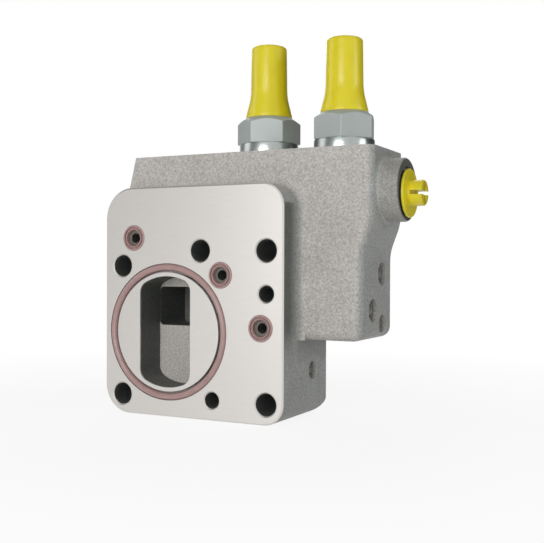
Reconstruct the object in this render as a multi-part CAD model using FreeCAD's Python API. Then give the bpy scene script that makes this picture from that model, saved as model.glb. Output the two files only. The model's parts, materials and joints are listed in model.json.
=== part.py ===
import FreeCAD, Part
import math
import os

# Control valve of an axial piston pump: load sensing and pressure cut-off in one cast housing
# Millimetres. Origin at the middle of the large seal ring, on the machined mounting face
# X to the right as the pump sees the valve, Y from the mounting face into the valve, Z up

V = FreeCAD.Vector
X_AXIS = V(1, 0, 0)
Y_AXIS = V(0, 1, 0)
Z_AXIS = V(0, 0, 1)

# Clearances and small roundings that several pieces share
thread_gap = 0.05
running_gap = 0.02
seal_gap = 0.04
cap_gap = 0.15
thread_end_round = 0.8
edge_round = 0.4
touch = 0.001

# Mounting plate
plate_left = -31.0
plate_width = 84.5
plate_bottom = -35.0
plate_height = 95.0
plate_thickness = 14.0
plate_edge_break = 0.6
corner_top_left = 13.0
corner_top_right = 9.5
corner_bottom_left = 12.0
corner_bottom_right = 8.5

# Lower block behind the plate
block_depth = 43.5
block_back_round = 8.0
block_side_round = 2.0

# Tall body behind the plate
body_bottom = -2.2
body_height = 76.7
body_depth = 50.0
body_top_inset = 5.5
body_shoulder_drop = 22.0
end_wall = 14.1
end_face_step = 4.5
end_ease_low = 33.0
end_ease_rise = 12.0
end_ease_round = 20.0
shoulder_round = 14.0
body_corner_round = 4.5
body_front_round = 4.0
body_back_round = 2.5
web_round = 3.0
web_far_turn = 50.0

# Bolts through the housing
bolt_hole = 9.0
bolt_head_bore = 13.5
bolt_seat_depth = 2.0
bolt_right_x = 45.85
bolt_middle_pitch = 30.15
bolt_left_pitch = 68.25
bolt_upper_z = 33.4
bolt_lower_z = -26.9
bolt_left_upper_z = 27.2
small_hole = 6.6
small_head_bore = 11.0
small_upper_z = 16.4
small_lower_x = 21.4
hole_edge_break = 0.5

# Large seal ring and its groove
seal_groove_diameter = 56.6
seal_cord = 3.5
seal_groove_side_room = 0.2
seal_stand_out = 0.7

# Pocket inside the seal ring and the deep window in its floor
pocket_width = 24.6
pocket_centre_x = -1.0
pocket_end_diameter = 46.0
pocket_corner = 5.0
pocket_depth = 15.0
window_bottom = 1.7
window_height = 16.6
window_depth = 35.0
window_corner = 2.0

# Sealed ports in the mounting face
port_seat_diameter = 10.8
port_seat_depth = 1.6
port_ring_cord = 2.0
port_drill = 4.0
tank_port_x = -16.6
tank_port_z = 38.9
pressure_port_x = 25.4
pressure_port_z = 23.6
stroke_port_x = 43.6
stroke_port_z = 2.9

# Two upright bores, one behind each adjuster
bore_y = 31.0
cutoff_x = 31.3
bore_pitch = 34.6
cover_thread = 20.0
cover_thread_depth = 13.0
chamber_diameter = 17.5
chamber_depth = 34.5
spool_stand_out = 3.5
spool_diameter = 8.0
gallery_diameter = 13.0
gallery_width = 4.0
bore_plug_thread = 10.0
bore_plug_length = 8.0
bore_plug_recess = 0.5
bore_plug_key = 5.0

# Cross drillings and the expander plugs that close them
cross_drill = 4.0
large_plug = 9.5
small_plug = 7.5
plug_recess = 1.6
plug_cup_share = 0.6
plug_wall_share = 0.2
plug_floor = 0.8
upper_cross_y = 38.0
upper_cross_z = 24.3
middle_cross_y = 27.5
middle_cross_z = 9.7
lower_cross_y = 38.4
lower_cross_z = 3.9
block_cross_y = 27.9
block_cross_z = -15.5
drain_cross_z = 41.6
orifice_thread = 6.0
orifice_length = 6.0
orifice_hole = 0.8
orifice_slot = 1.0

# Signal port boss at the upper right
boss_drop = 16.7
boss_diameter = 25.4
boss_length = 8.5
boss_edge_round = 1.0
boss_root_round = 2.5
signal_drop = 18.1
signal_thread = 14.0
signal_thread_depth = 13.0
signal_seat_diameter = 21.2
signal_seat_depth = 1.5
signal_drill = 5.0

# Protective screw plug in the signal port
guard_flange = 19.4
guard_flange_thickness = 1.0
guard_thread_length = 9.0
guard_ring_cord = 1.8
guard_ring_diameter = 15.6
guard_stub = 10.3
guard_stub_length = 5.7
guard_slot = 1.6
guard_slot_depth = 4.6
guard_bore = 6.0
guard_flange_round = 0.3

# Screw-in adjuster covers
collar_diameter = 25.0
collar_height = 4.5
cover_ring_cord = 1.8
collar_edge_round = 0.6
hex_across = 23.4
hex_height = 11.0
hex_chamfer = 2.7
hex_flat_share = 0.84
cutoff_hex_turn = 21.9
sensing_hex_turn = 46.7
plunger_bore = 14.0
cover_roof = 6.5
plunger_length = 9.0
plunger_drop = 3.6
plunger_ring_cord = 1.8
plunger_spigot = 5.0
plunger_spigot_length = 3.0

# Adjusting screws, lock nuts and caps
adjust_thread = 8.0
adjust_stand_out = 22.0
adjust_key = 4.0
adjust_key_depth = 5.0
adjust_tip_break = 0.8
nut_across = 13.0
nut_height = 4.0
nut_chamfer = 0.5
nut_flat_share = 0.95
cap_height = 30.4
cap_top_diameter = 14.3
cap_waist_diameter = 15.3
cap_rim_diameter = 19.7
cap_flare_height = 8.3
cap_rim_height = 0.8
cap_top_round = 2.0
cap_bore = 12.0
cap_roof = 2.0

# Springs, seats and spools
seat_diameter = 15.5
seat_thickness = 2.5
seat_spigot = 5.0
seat_spigot_length = 2.0
spring_diameter = 13.2
sensing_wire = 1.9
cutoff_wire = 2.5
inner_spring_diameter = 7.4
inner_wire = 1.0
spring_turns = 5.5
inner_turns = 6.5
spring_end_gap = 0.02
spool_neck = 5.0
spool_nose = 1.5
land_length = 7.0

# Sizes worked out from the ones above
plate_right = plate_left + plate_width
plate_top = plate_bottom + plate_height
bolt_seat_y = block_depth - bolt_seat_depth
body_top = body_bottom + body_height
sensing_x = cutoff_x + bore_pitch
end_pad_x = sensing_x + end_wall
end_face_x = end_pad_x + end_face_step
cover_top = body_top + collar_height + hex_height
chamber_floor_z = body_top - chamber_depth
boss_z = body_top - boss_drop
signal_z = body_top - signal_drop
pocket_radius = pocket_end_diameter / 2
chamber_radius = chamber_diameter / 2
spool_radius = spool_diameter / 2


def cylinder(diameter, length, base, axis):
    return Part.makeCylinder(diameter / 2, length, base, axis)


def corner_arc(before, corner, after, radius):
    to_before = (before - corner).normalize()
    to_after = (after - corner).normalize()
    half = to_before.getAngle(to_after) / 2
    reach = radius / math.tan(half)
    middle = (to_before + to_after).normalize() * (radius / math.sin(half))
    centre = corner + middle
    start = corner + to_before * reach
    end = corner + to_after * reach
    crest = centre - middle.normalize() * radius
    return start, crest, end


def rounded_wire(corners):
    # Corners are (point, radius); a radius of zero leaves the corner sharp
    count = len(corners)
    spans = []
    for i in range(count):
        point, radius = corners[i]
        if radius:
            before = corners[i - 1][0]
            after = corners[(i + 1) % count][0]
            spans.append(corner_arc(before, point, after, radius))
        else:
            spans.append((point, None, point))
    edges = []
    for i in range(count):
        start, crest, end = spans[i]
        if crest is not None:
            edges.append(Part.Arc(start, crest, end).toShape())
        edges.append(Part.makeLine(end, spans[(i + 1) % count][0]))
    return Part.Wire(edges)


def prism_y(corners, near, far):
    # Corners are (x, z, radius), extruded from the depth near to the depth far
    wire = rounded_wire([(V(x, near, z), radius) for x, z, radius in corners])
    return Part.Face(wire).extrude(V(0, far - near, 0))


def prism_x(corners, left, right):
    wire = rounded_wire([(V(left, y, z), radius) for y, z, radius in corners])
    return Part.Face(wire).extrude(V(right - left, 0, 0))


def turned(points, place, axis=Z_AXIS):
    # Points are (radius, height, rounding) of a closed outline, turned once about the axis
    wire = rounded_wire([(V(r, 0, h), rounding) for r, h, rounding in points])
    solid = Part.Face(wire).revolve(V(0, 0, 0), Z_AXIS, 360)
    solid.Placement = FreeCAD.Placement(place, FreeCAD.Rotation(Z_AXIS, axis))
    return solid


def ring(centre, axis, middle_radius, cord):
    return Part.makeTorus(middle_radius, cord / 2, centre, axis)


def hexagon(across, height, base, turn=0.0):
    corner = across / math.sqrt(3)
    points = []
    for i in range(7):
        angle = math.radians(60 * i + turn)
        points.append(base + V(corner * math.cos(angle), corner * math.sin(angle), 0))
    return Part.Face(Part.makePolygon(points)).extrude(V(0, 0, height))


def chamfered_hexagon(across, height, drop, flat_share, base, turn, both_ends=False):
    corner = across / math.sqrt(3)
    flat = across * flat_share / 2
    outline = [(0, height, 0), (flat, height, 0), (corner, height - drop, 0)]
    if both_ends:
        outline += [(corner, drop, 0), (flat, 0, 0), (0, 0, 0)]
    else:
        outline += [(corner, 0, 0), (0, 0, 0)]
    return hexagon(across, height, base, turn).common(turned(outline, base))


def edges_where(shape, test):
    return [edge for edge in shape.Edges if test(edge.CenterOfMass, edge.BoundBox)]


# Places that several pieces share


def bolt_places():
    middle = bolt_right_x - bolt_middle_pitch
    left = bolt_right_x - bolt_left_pitch
    return [
        (middle, bolt_upper_z),
        (bolt_right_x, bolt_upper_z),
        (left, bolt_left_upper_z),
        (left, bolt_lower_z),
        (bolt_right_x, bolt_lower_z),
    ]


def small_bolt_places():
    return [(bolt_right_x, small_upper_z), (small_lower_x, bolt_lower_z)]


def port_places():
    return [
        (tank_port_x, tank_port_z, bore_y),
        (pressure_port_x, pressure_port_z, bore_y),
        (stroke_port_x, stroke_port_z, lower_cross_y),
    ]


# Each upright bore is (name, x, z of its lower mouth, heights of its galleries, turn of its hexagon, springs)
# A spring is (name, outer diameter, wire, turns)
BORES = (
    (
        "cutoff",
        cutoff_x,
        plate_bottom,
        (block_cross_z, middle_cross_z, upper_cross_z),
        cutoff_hex_turn,
        (
            ("outer_spring", spring_diameter, cutoff_wire, spring_turns),
            ("inner_spring", inner_spring_diameter, inner_wire, inner_turns),
        ),
    ),
    (
        "sensing",
        sensing_x,
        body_bottom,
        (middle_cross_z, upper_cross_z),
        sensing_hex_turn,
        (("spring", spring_diameter, sensing_wire, spring_turns),),
    ),
)


def expander_places():
    # Each is (mouth, way in, diameter, drilling from the mouth to the far bore)
    inward = V(-1, 0, 0)
    return [
        (V(end_pad_x, upper_cross_y, upper_cross_z), inward, large_plug, end_pad_x - cutoff_x),
        (V(end_pad_x, middle_cross_y, middle_cross_z), inward, large_plug, end_pad_x - cutoff_x),
        (V(end_pad_x, lower_cross_y, lower_cross_z), inward, small_plug, end_pad_x - stroke_port_x),
        (V(plate_right, block_cross_y, block_cross_z), inward, small_plug, plate_right - cutoff_x),
        (V(plate_left, bore_y, drain_cross_z), X_AXIS, small_plug, sensing_x - plate_left),
    ]


def plunger_foot():
    return cover_top - cover_roof - plunger_drop - plunger_length


def spool_head():
    return chamber_floor_z + spool_stand_out


def spool_foot(mouth):
    return mouth + bore_plug_recess + bore_plug_length


def flange_back():
    return end_face_x + boss_length - signal_seat_depth + guard_ring_cord + 2 * seal_gap


# Housing


def plate_blank():
    outline = [
        (plate_left, plate_bottom, corner_bottom_left),
        (plate_right, plate_bottom, corner_bottom_right),
        (plate_right, plate_top, corner_top_right),
        (plate_left, plate_top, corner_top_left),
    ]
    plate = prism_y(outline, 0, plate_thickness)
    return plate.makeChamfer(plate_edge_break, edges_where(plate, lambda c, box: box.YMax < touch))


def block_blank():
    near = plate_thickness / 2
    inside = body_bottom + body_front_round + body_corner_round
    front = [
        (plate_left, plate_bottom, corner_bottom_left),
        (plate_right, plate_bottom, corner_bottom_right),
        (plate_right, inside, 0),
        (plate_left, inside, 0),
    ]
    side = [
        (near, plate_bottom, 0),
        (block_depth, plate_bottom, block_back_round),
        (block_depth, inside, 0),
        (near, inside, 0),
    ]
    plan = [
        (V(plate_left, near, plate_bottom), 0),
        (V(plate_right, near, plate_bottom), 0),
        (V(plate_right, block_depth, plate_bottom), block_side_round),
        (V(plate_left, block_depth, plate_bottom), block_side_round),
    ]
    upright = Part.Face(rounded_wire(plan)).extrude(V(0, 0, inside - plate_bottom))
    across = prism_x(side, plate_left, plate_right)
    return prism_y(front, near, block_depth).common(across).common(upright)


def body_outline():
    return [
        (plate_left, body_bottom, 0),
        (end_pad_x, body_bottom, body_corner_round),
        (end_pad_x, end_ease_low, end_ease_round),
        (end_face_x, end_ease_low + end_ease_rise, end_ease_round),
        (end_face_x, body_top, 0),
        (plate_left + body_top_inset, body_top, 0),
        (plate_left, body_top - body_shoulder_drop, shoulder_round),
    ]


def body_blank():
    body = prism_y(body_outline(), plate_thickness, body_depth)

    def front(c, box):
        beside = c.x > plate_left + body_top_inset
        return box.YMax < plate_thickness + touch and beside and c.z < body_top - touch

    def back(c, box):
        return box.YMin > body_depth - touch and c.z < body_top - touch

    body = body.makeFillet(body_front_round, edges_where(body, front))
    return body.makeFillet(body_back_round, edges_where(body, back))


def web_section(foot, outward):
    # Hollow quarter round between the plate's side and the front of the tall body
    corner = foot + Y_AXIS * plate_thickness
    side = corner - Y_AXIS * web_round
    front = corner + outward * web_round
    centre = side + outward * web_round
    crest = centre + (corner - centre).normalize() * web_round
    edges = [Part.makeLine(side, corner), Part.makeLine(corner, front), Part.Arc(front, crest, side).toShape()]
    return Part.Face(Part.Wire(edges))


def web():
    right = web_section(V(plate_right, 0, body_bottom), X_AXIS)
    upright = right.extrude(V(0, 0, plate_height - corner_top_right - body_bottom + plate_bottom))
    pivot = V(plate_right - corner_top_right, 0, plate_top - corner_top_right)
    turn = web_section(V(plate_right, 0, pivot.z), X_AXIS).revolve(pivot, Y_AXIS, -90)
    top = web_section(V(plate_left + corner_top_left, 0, plate_top), Z_AXIS)
    level = top.extrude(V(plate_width - corner_top_left - corner_top_right, 0, 0))
    far_pivot = V(plate_left + corner_top_left, 0, plate_top - corner_top_left)
    far_turn = top.revolve(far_pivot, Y_AXIS, -web_far_turn)
    return [piece.common(prism_y(body_outline(), 0, body_depth)) for piece in (upright, turn, level, far_turn)]


def boss():
    radius = boss_diameter / 2
    outline = [
        (0, 0, 0),
        (radius, 0, 0),
        (radius, chamber_radius + boss_length, boss_edge_round),
        (0, chamber_radius + boss_length, 0),
    ]
    return turned(outline, V(end_face_x - chamber_radius, bore_y, boss_z), X_AXIS)


def on_boss_root(c, box):
    # The edges where the boss grows out of the body's end
    near = end_pad_x - touch < box.XMin and box.XMax < end_face_x + touch
    radius = boss_diameter / 2 + touch
    level = box.YMin > bore_y - radius and box.YMax < bore_y + radius
    return near and level and box.ZMin > boss_z - radius and box.ZMax < boss_z + radius


def screw_hole(x, z, hole, head):
    # Through hole with a seat for the screw's head; all the heads sit in one plane
    bore = cylinder(hole, body_depth, V(x, 0, z), Y_AXIS)
    mouth = Part.makeCone(hole / 2 + hole_edge_break, hole / 2, hole_edge_break, V(x, 0, z), Y_AXIS)
    seat = cylinder(head, body_depth, V(x, bolt_seat_y, z), Y_AXIS)
    return [bore, mouth, seat]


def corner_run_out():
    # The lower left seat lies so near the rounded corner that it opens towards it
    x, z = bolt_places()[3]
    return Part.makeBox(x - plate_left, body_depth, z - plate_bottom, V(plate_left, bolt_seat_y, plate_bottom))


def seal_groove():
    radius = seal_groove_diameter / 2
    inner = radius - seal_cord - seal_groove_side_room
    depth = seal_cord - seal_stand_out
    return cylinder(2 * radius, depth, V(0, 0, 0), Y_AXIS).cut(cylinder(2 * inner, depth, V(0, 0, 0), Y_AXIS))


def pocket():
    left = pocket_centre_x - pocket_width / 2
    round_end = cylinder(pocket_end_diameter, pocket_depth, V(0, 0, 0), Y_AXIS)
    slab = Part.makeBox(pocket_width, pocket_depth, pocket_end_diameter, V(left, 0, -pocket_radius))
    hollow = round_end.common(slab)
    hollow = hollow.makeFillet(pocket_corner, edges_where(hollow, lambda c, box: box.YLength > pocket_depth / 2))
    window = [
        (left, window_bottom, window_corner),
        (left + pocket_width, window_bottom, window_corner),
        (left + pocket_width, window_bottom + window_height, window_corner),
        (left, window_bottom + window_height, window_corner),
    ]
    return [hollow, prism_y(window, pocket_depth / 2, window_depth)]


def port_holes():
    cuts = []
    for x, z, depth in port_places():
        cuts.append(cylinder(port_seat_diameter, port_seat_depth, V(x, 0, z), Y_AXIS))
        cuts.append(cylinder(port_drill, depth, V(x, 0, z), Y_AXIS))
    return cuts


def upright_bore(x, mouth, galleries):
    thread = cover_thread / 2 + thread_gap
    seat = cover_thread / 2 + cover_ring_cord + 2 * seal_gap
    seat_depth = cover_ring_cord + 2 * seal_gap
    bore = spool_radius + running_gap
    lower = bore_plug_thread / 2 + thread_gap
    outline = [
        (0, body_top, 0),
        (seat, body_top, 0),
        (seat, body_top - seat_depth, 0),
        (thread, body_top - seat_depth, 0),
        (thread, body_top - cover_thread_depth, 0),
        (chamber_radius, body_top - cover_thread_depth, 0),
        (chamber_radius, chamber_floor_z, 0),
        (bore, chamber_floor_z, 0),
        (bore, spool_foot(mouth), 0),
        (lower, spool_foot(mouth), 0),
        (lower, mouth, 0),
        (0, mouth, 0),
    ]
    cuts = [turned(outline, V(x, bore_y, 0))]
    for z in galleries:
        cuts.append(cylinder(gallery_diameter, gallery_width, V(x, bore_y, z - gallery_width / 2), Z_AXIS))
    return cuts


def cross_holes():
    cuts = []
    for mouth, way, diameter, reach in expander_places():
        seat_depth = plug_recess + diameter * plug_cup_share
        cuts.append(cylinder(diameter, seat_depth + 1, mouth - way, way))
        cuts.append(cylinder(cross_drill, reach, mouth, way))
    start = V(cutoff_x, bore_y, drain_cross_z)
    cuts.append(cylinder(orifice_thread + 2 * thread_gap, orifice_end() - cutoff_x, start, X_AXIS))
    return cuts


def orifice_end():
    return (cutoff_x + sensing_x) / 2 + orifice_length / 2


def signal_hole():
    end = end_face_x + boss_length
    place = V(0, bore_y, signal_z)
    back = V(-1, 0, 0)
    seat = cylinder(signal_seat_diameter, signal_seat_depth, place + X_AXIS * end, back)
    thread = cylinder(signal_thread + 2 * thread_gap, signal_thread_depth, place + X_AXIS * end, back)
    drill = cylinder(signal_drill, end - sensing_x, place + X_AXIS * end, back)
    return [seat, thread, drill]


def housing():
    blank = plate_blank().fuse([body_blank(), block_blank(), boss()] + web()).removeSplitter()
    boss_root = edges_where(blank, on_boss_root)
    blank = blank.makeFillet(boss_root_round, boss_root)
    cuts = [seal_groove(), corner_run_out()] + pocket() + port_holes() + cross_holes() + signal_hole()
    for x, z in bolt_places():
        cuts += screw_hole(x, z, bolt_hole, bolt_head_bore)
    for x, z in small_bolt_places():
        cuts += screw_hole(x, z, small_hole, small_head_bore)
    for name, x, mouth, galleries, turn, springs in BORES:
        cuts += upright_bore(x, mouth, galleries)
    return blank.cut(cuts)


# Seals and plugs of the housing


def face_seal():
    middle = seal_groove_diameter / 2 - seal_gap - seal_cord / 2
    return ring(V(0, seal_cord / 2 - seal_stand_out - seal_gap, 0), Y_AXIS, middle, seal_cord)


def port_seals():
    middle = port_seat_diameter / 2 - seal_gap - port_ring_cord / 2
    centre_y = port_seat_depth - seal_gap - port_ring_cord / 2
    return [ring(V(x, centre_y, z), Y_AXIS, middle, port_ring_cord) for x, z, depth in port_places()]


def expander_cups():
    cups = []
    for mouth, way, diameter, reach in expander_places():
        outer = diameter / 2 - running_gap
        inner = diameter / 2 - diameter * plug_wall_share
        depth = diameter * plug_cup_share
        outline = [
            (0, depth, 0),
            (0, depth - plug_floor, 0),
            (inner, depth - plug_floor, 0),
            (inner, 0, 0),
            (outer, 0, 0),
            (outer, depth, 0),
        ]
        cups.append(turned(outline, mouth + way * plug_recess, way))
    return cups


def expander_balls():
    balls = []
    for mouth, way, diameter, reach in expander_places():
        radius = diameter / 2 - diameter * plug_wall_share - running_gap
        depth = plug_recess + diameter * plug_cup_share - plug_floor - running_gap - radius
        balls.append(Part.makeSphere(radius, mouth + way * depth))
    return balls


def bore_plugs():
    plugs = []
    for name, x, mouth, galleries, turn, springs in BORES:
        base = V(x, bore_y, mouth + bore_plug_recess)
        key = hexagon(bore_plug_key, bore_plug_length / 2, base)
        plugs.append(cylinder(bore_plug_thread, bore_plug_length, base, Z_AXIS).cut(key))
    return plugs


def bleed_orifice():
    start = V(orifice_end() - orifice_length, bore_y, drain_cross_z)
    body = cylinder(orifice_thread, orifice_length, start, X_AXIS)
    jet = cylinder(orifice_hole, orifice_length, start, X_AXIS)
    corner = start - V(0, orifice_slot / 2, orifice_thread / 2)
    slot = Part.makeBox(orifice_slot, orifice_slot, orifice_thread, corner)
    return body.cut([jet, slot])


# Yellow screw plug that keeps the signal port clean


def guard_plug():
    place = V(flange_back(), bore_y, signal_z)
    stub = guard_stub / 2
    stem = signal_thread / 2
    end = guard_flange_thickness + guard_stub_length
    outline = [
        (0, 0, 0),
        (guard_bore / 2, 0, 0),
        (guard_bore / 2, -guard_thread_length, 0),
        (stem, -guard_thread_length, thread_end_round),
        (stem, 0, 0),
        (guard_flange / 2, 0, 0),
        (guard_flange / 2, guard_flange_thickness, guard_flange_round),
        (stub, guard_flange_thickness, 0),
        (stub, end, thread_end_round),
        (0, end, 0),
    ]
    plug = turned(outline, place, X_AXIS)
    near = place + X_AXIS * (end - guard_slot_depth)
    level = Part.makeBox(guard_slot_depth, guard_stub, guard_slot, near - V(0, stub, guard_slot / 2))
    upright = Part.makeBox(guard_slot_depth, guard_slot, guard_stub, near - V(0, guard_slot / 2, stub))
    return plug.cut([level, upright])


def guard_ring():
    centre = V(flange_back() - guard_ring_cord / 2 - seal_gap, bore_y, signal_z)
    middle = signal_thread / 2 + thread_gap + guard_ring_cord / 2
    return ring(centre, X_AXIS, middle, guard_ring_cord)


# Adjusters


def cover(x, turn):
    shank = cover_thread / 2
    collar = collar_diameter / 2
    bottom = body_top - cover_thread_depth
    collar_top = body_top + collar_height
    outline = [
        (0, bottom, 0),
        (shank, bottom, thread_end_round),
        (shank, body_top, 0),
        (collar, body_top, collar_edge_round),
        (collar, collar_top, collar_edge_round),
        (0, collar_top, 0),
    ]
    screwed = turned(outline, V(x, bore_y, 0))
    head = chamfered_hexagon(hex_across, hex_height, hex_chamfer, hex_flat_share, V(x, bore_y, collar_top), turn)
    roof = cover_top - cover_roof
    bore = cylinder(plunger_bore, roof - bottom, V(x, bore_y, bottom), Z_AXIS)
    thread = cylinder(adjust_thread + 2 * thread_gap, cover_roof, V(x, bore_y, roof), Z_AXIS)
    return screwed.fuse(head).removeSplitter().cut([bore, thread])


def cover_ring(x):
    middle = cover_thread / 2 + seal_gap + cover_ring_cord / 2
    return ring(V(x, bore_y, body_top - seal_gap - cover_ring_cord / 2), Z_AXIS, middle, cover_ring_cord)


def plunger(x):
    radius = plunger_bore / 2 - running_gap
    groove = plunger_bore / 2 - plunger_ring_cord - 2 * seal_gap
    half = plunger_ring_cord / 2 + 2 * seal_gap
    foot = plunger_foot()
    middle = foot + plunger_length / 2
    spigot = plunger_spigot / 2
    outline = [
        (0, foot - plunger_spigot_length, 0),
        (spigot, foot - plunger_spigot_length, edge_round),
        (spigot, foot, 0),
        (radius, foot, edge_round),
        (radius, middle - half, 0),
        (groove, middle - half, 0),
        (groove, middle + half, 0),
        (radius, middle + half, 0),
        (radius, foot + plunger_length, edge_round),
        (0, foot + plunger_length, 0),
    ]
    return turned(outline, V(x, bore_y, 0))


def plunger_ring(x):
    middle = plunger_bore / 2 - seal_gap - plunger_ring_cord / 2
    return ring(V(x, bore_y, plunger_foot() + plunger_length / 2), Z_AXIS, middle, plunger_ring_cord)


def adjusting_screw(x):
    radius = adjust_thread / 2
    bottom = plunger_foot() + plunger_length
    top = cover_top + adjust_stand_out
    outline = [
        (0, bottom, 0),
        (radius - adjust_tip_break, bottom, 0),
        (radius, bottom + adjust_tip_break, 0),
        (radius, top - adjust_tip_break, 0),
        (radius - adjust_tip_break, top, 0),
        (0, top, 0),
    ]
    key = hexagon(adjust_key, adjust_key_depth, V(x, bore_y, top - adjust_key_depth))
    return turned(outline, V(x, bore_y, 0)).cut(key)


def lock_nut(x, turn):
    base = V(x, bore_y, cover_top)
    nut = chamfered_hexagon(nut_across, nut_height, nut_chamfer, nut_flat_share, base, turn, both_ends=True)
    return nut.cut(cylinder(adjust_thread + 2 * thread_gap, nut_height, base, Z_AXIS))


def cap(x):
    rim = cap_rim_diameter / 2
    waist = cap_waist_diameter / 2
    top = cap_top_diameter / 2
    bore = cap_bore / 2
    nut_room = nut_across / math.sqrt(3) + cap_gap
    nut_top = nut_height + cap_gap
    roof = cap_height - cap_roof
    flare = cap_flare_height - cap_rim_height
    sweep = (flare ** 2 + (rim - waist) ** 2) / (2 * (rim - waist))
    half = math.asin(flare / sweep) / 2
    crest = V(waist + sweep - sweep * math.cos(half), 0, cap_flare_height - sweep * math.sin(half))
    taper = (waist - top) / (cap_height - cap_flare_height)
    shoulder = V(top + taper * cap_top_round, 0, cap_height - cap_top_round)
    sagitta = cap_top_round * (1 - math.sqrt(0.5))
    bend = V(top - sagitta, 0, cap_height - sagitta)
    edges = [
        Part.makeLine(V(nut_room, 0, 0), V(rim, 0, 0)),
        Part.makeLine(V(rim, 0, 0), V(rim, 0, cap_rim_height)),
        Part.Arc(V(rim, 0, cap_rim_height), crest, V(waist, 0, cap_flare_height)).toShape(),
        Part.makeLine(V(waist, 0, cap_flare_height), shoulder),
        Part.Arc(shoulder, bend, V(top - cap_top_round, 0, cap_height)).toShape(),
        Part.makeLine(V(top - cap_top_round, 0, cap_height), V(0, 0, cap_height)),
        Part.makeLine(V(0, 0, cap_height), V(0, 0, roof)),
        Part.makeLine(V(0, 0, roof), V(bore, 0, roof)),
        Part.makeLine(V(bore, 0, roof), V(bore, 0, nut_top)),
        Part.makeLine(V(bore, 0, nut_top), V(nut_room, 0, nut_top)),
        Part.makeLine(V(nut_room, 0, nut_top), V(nut_room, 0, 0)),
    ]
    solid = Part.Face(Part.Wire(edges)).revolve(V(0, 0, 0), Z_AXIS, 360)
    solid.translate(V(x, bore_y, cover_top))
    return solid


def coil(x, diameter, wire, turns):
    foot = spool_head() + seat_thickness + spring_end_gap
    height = plunger_foot() - spring_end_gap - foot - wire
    radius = (diameter - wire) / 2
    path = Part.makeHelix(height / turns, height, radius)
    section = Part.Wire(Part.makeCircle(wire / 2, V(radius, 0, 0), Y_AXIS))
    solid = Part.Wire(path).makePipeShell([section], True, True)
    solid.translate(V(x, bore_y, foot + wire / 2))
    return solid


def lower_seat(x):
    foot = spool_head()
    top = foot + seat_thickness
    spigot = seat_spigot / 2
    outline = [
        (0, foot, 0),
        (seat_diameter / 2, foot, edge_round),
        (seat_diameter / 2, top, edge_round),
        (spigot, top, 0),
        (spigot, top + seat_spigot_length, edge_round),
        (0, top + seat_spigot_length, 0),
    ]
    return turned(outline, V(x, bore_y, 0))


def spool(x, mouth, galleries):
    neck = spool_neck / 2
    foot = spool_foot(mouth)
    outline = [(0, foot, 0), (neck, foot, 0), (neck, foot + spool_nose, 0), (spool_radius, foot + spool_nose, 0)]
    for lower, upper in zip(galleries[:-1], galleries[1:]):
        low = lower + land_length / 2
        high = upper - land_length / 2
        outline += [(spool_radius, low, 0), (neck, low, 0), (neck, high, 0), (spool_radius, high, 0)]
    outline += [(spool_radius, spool_head(), edge_round), (0, spool_head(), 0)]
    return turned(outline, V(x, bore_y, 0))


def pieces():
    parts = {
        "housing": [housing()],
        "face_seal": [face_seal()],
        "port_seals": port_seals(),
        "expander_cups": expander_cups(),
        "expander_balls": expander_balls(),
        "bore_plugs": bore_plugs(),
        "bleed_orifice": [bleed_orifice()],
        "guard_plug": [guard_plug()],
        "guard_plug_ring": [guard_ring()],
    }
    for name, x, mouth, galleries, turn, springs in BORES:
        parts[name + "_spool"] = [spool(x, mouth, galleries)]
        parts[name + "_lower_seat"] = [lower_seat(x)]
        for label, diameter, wire, turns in springs:
            parts[name + "_" + label] = [coil(x, diameter, wire, turns)]
        parts[name + "_plunger"] = [plunger(x)]
        parts[name + "_plunger_ring"] = [plunger_ring(x)]
        parts[name + "_cover"] = [cover(x, turn)]
        parts[name + "_cover_ring"] = [cover_ring(x)]
        parts[name + "_adjusting_screw"] = [adjusting_screw(x)]
        parts[name + "_lock_nut"] = [lock_nut(x, turn)]
        parts[name + "_cap"] = [cap(x)]
    return parts


os.makedirs("parts", exist_ok=True)
for node, solids in pieces().items():
    shape = solids[0] if len(solids) == 1 else Part.makeCompound(solids)
    print(node, shape.isValid(), "volume", round(shape.Volume, 1), "solids", len(shape.Solids), "faces", len(shape.Faces))
    shape.exportStep("parts/" + node + ".step")
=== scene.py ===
# %% [markdown]
# # Control valve of an axial piston pump
# One grey iron casting carries two spring adjusters under yellow caps, a plugged signal port on the
# right, pressed-in plugs that close its drillings, and a machined mounting face with four seal rings. The
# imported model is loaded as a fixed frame. Every piece below sits where that frame says, and rides on the
# body that carries it.

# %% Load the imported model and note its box
import bpy
import json
import math
from mathutils import Matrix, Vector


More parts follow.
